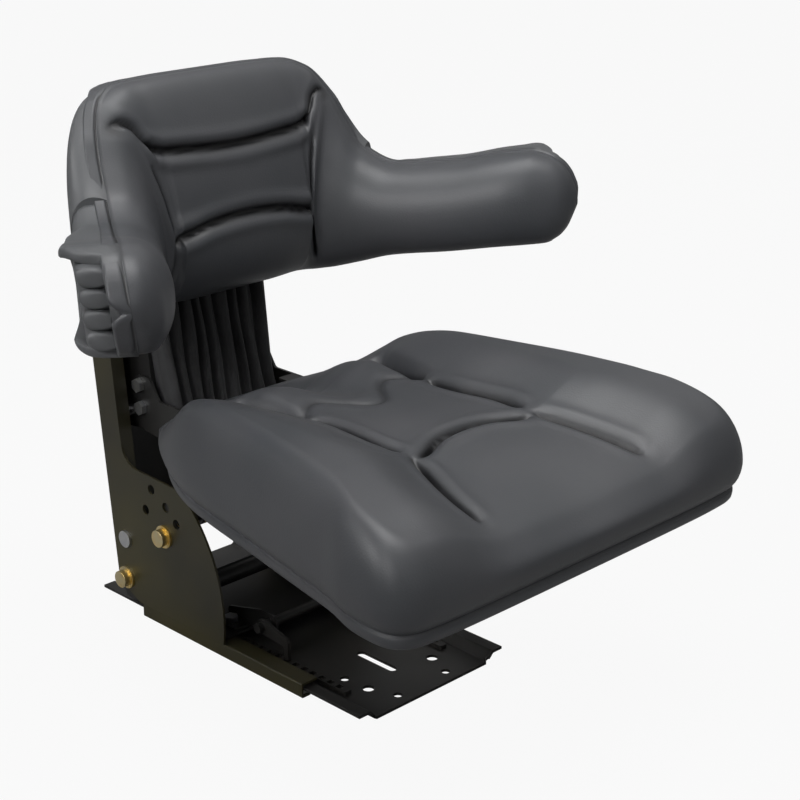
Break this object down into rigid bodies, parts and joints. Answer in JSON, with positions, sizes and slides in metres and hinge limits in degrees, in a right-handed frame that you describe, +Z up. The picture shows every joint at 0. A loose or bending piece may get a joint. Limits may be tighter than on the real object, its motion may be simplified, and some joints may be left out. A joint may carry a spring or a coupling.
{
  "type": "tractor suspension seat",
  "caption": "Tractor seat with padded wrap-round arms on a sprung column with damper, tilt plates and fore-and-aft slides.",
  "frame": {"origin": "middle of the base plate's underside", "axes": "-Y is the way the seat faces, +X the operator's left, +Z up"},
  "size_m": [0.6316, 0.5985, 0.5601],
  "materials": {
    "black_paint": "satin black paint",
    "zinc_yellow": "yellow passivated zinc",
    "zinc_plain": "bright zinc",
    "steel_bright": "ground steel",
    "spring_steel": "black phosphate",
    "vinyl": "semi-gloss black vinyl",
    "boot_cloth": "soft black coated cloth",
    "moulded_plastic": "grained dark grey plastic",
    "slide_plastic": "natural acetal",
    "grip_plastic": "soft black plastic"
  },
  "bodies": {
    "base": {"base_plate": "black_paint", "lock_racks": "black_paint"},
    "slider": {"slide_rail_left": "black_paint", "slide_rail_right": "black_paint", "glide_pads_left": "slide_plastic", "glide_pads_right": "slide_plastic", "tilt_carrier": "black_paint", "carrier_nuts": "zinc_plain", "tie_tube": "black_paint", "lever_brackets": "black_paint", "lever_bracket_bolts": "zinc_plain", "side_plate_left": "black_paint", "side_plate_right": "black_paint", "tilt_bolts": "zinc_yellow", "tilt_washers": "zinc_yellow", "tilt_nuts": "zinc_yellow", "rear_cover": "black_paint", "cover_screws": "zinc_plain", "column_top_plate": "black_paint", "damper_pin": "zinc_plain", "damper_spacers": "black_paint", "damper_body": "black_paint"},
    "lock_lever": {"slide_lever": "black_paint", "lever_grip": "grip_plastic"},
    "adjuster": {"adjuster_spindle": "steel_bright", "adjuster_knob": "grip_plastic"},
    "yoke": {"spring_yoke": "black_paint", "upper_spring_plugs": "steel_bright", "spring_left": "spring_steel", "spring_right": "spring_steel"},
    "carriage": {"carriage_frame": "black_paint", "roller_axles": "steel_bright", "damper_rod": "steel_bright", "lower_spring_plugs": "steel_bright", "seat_arm_left": "black_paint", "seat_arm_right": "black_paint", "arm_bolts": "zinc_plain", "pan_bolts": "zinc_plain", "seat_pan": "black_paint", "seat_cushion": "vinyl", "boot": "boot_cloth", "backrest_bracket": "black_paint", "bracket_bolts": "zinc_plain", "backrest_bolts": "zinc_plain", "backrest_shell": "moulded_plastic", "backrest_pad": "vinyl", "arm_shell_left": "moulded_plastic", "arm_shell_right": "moulded_plastic"},
    "roller_low_left_body": {"roller_low_left": "slide_plastic"},
    "roller_low_right_body": {"roller_low_right": "slide_plastic"},
    "roller_high_left_body": {"roller_high_left": "slide_plastic"},
    "roller_high_right_body": {"roller_high_right": "slide_plastic"}
  },
  "joints": [
    {"name": "fore_aft_slide", "type": "slide", "parent": "base", "child": "slider", "axis": [0, 1, 0], "range_m": [-0.075, 0.075]},
    {"name": "lock_lever_lift", "type": "hinge", "parent": "slider", "child": "lock_lever", "pos_m": [0, -0.025, 0.031], "axis": [1, 0, 0], "range_deg": [-12, 0], "stiffness_Nm_per_rad": 1.5, "springref_deg": 17.19},
    {"name": "suspension_travel", "type": "slide", "parent": "slider", "child": "carriage", "axis": [0, 0.1045, 0.9945], "range_m": [-0.06, 0], "stiffness_N_per_m": 8000, "springref_m": 0.06, "deforming": ["spring_left", "spring_right"]},
    {"name": "adjuster_turn", "type": "hinge", "parent": "slider", "child": "adjuster", "pos_m": [0, 0.18012, 0.42253], "axis": [0, 0.1045, 0.9945], "range_deg": [-3600, 0]},
    {"name": "yoke_rise", "type": "slide", "parent": "slider", "child": "yoke", "axis": [0, 0.1045, 0.9945], "range_m": [0, 0.02], "deforming": ["spring_left", "spring_right"]},
    {"name": "roller_low_left_spin", "type": "hinge", "parent": "carriage", "child": "roller_low_left_body", "pos_m": [0.095, 0.16325, 0.21415], "axis": [1, 0, 0], "range_deg": [-275, 5]},
    {"name": "roller_low_right_spin", "type": "hinge", "parent": "carriage", "child": "roller_low_right_body", "pos_m": [-0.095, 0.16325, 0.21415], "axis": [1, 0, 0], "range_deg": [-275, 5]},
    {"name": "roller_high_left_spin", "type": "hinge", "parent": "carriage", "child": "roller_high_left_body", "pos_m": [0.095, 0.17579, 0.33349], "axis": [1, 0, 0], "range_deg": [-275, 5]},
    {"name": "roller_high_right_spin", "type": "hinge", "parent": "carriage", "child": "roller_high_right_body", "pos_m": [-0.095, 0.17579, 0.33349], "axis": [1, 0, 0], "range_deg": [-275, 5]}
  ],
  "couplings": [
    {"joint": "adjuster_turn", "follows": "yoke_rise", "rad_per_m": -3141.6},
    {"joint": "roller_low_left_spin", "follows": "suspension_travel", "rad_per_m": 78.74},
    {"joint": "roller_low_right_spin", "follows": "suspension_travel", "rad_per_m": 78.74},
    {"joint": "roller_high_left_spin", "follows": "suspension_travel", "rad_per_m": 78.74},
    {"joint": "roller_high_right_spin", "follows": "suspension_travel", "rad_per_m": 78.74}
  ]
}
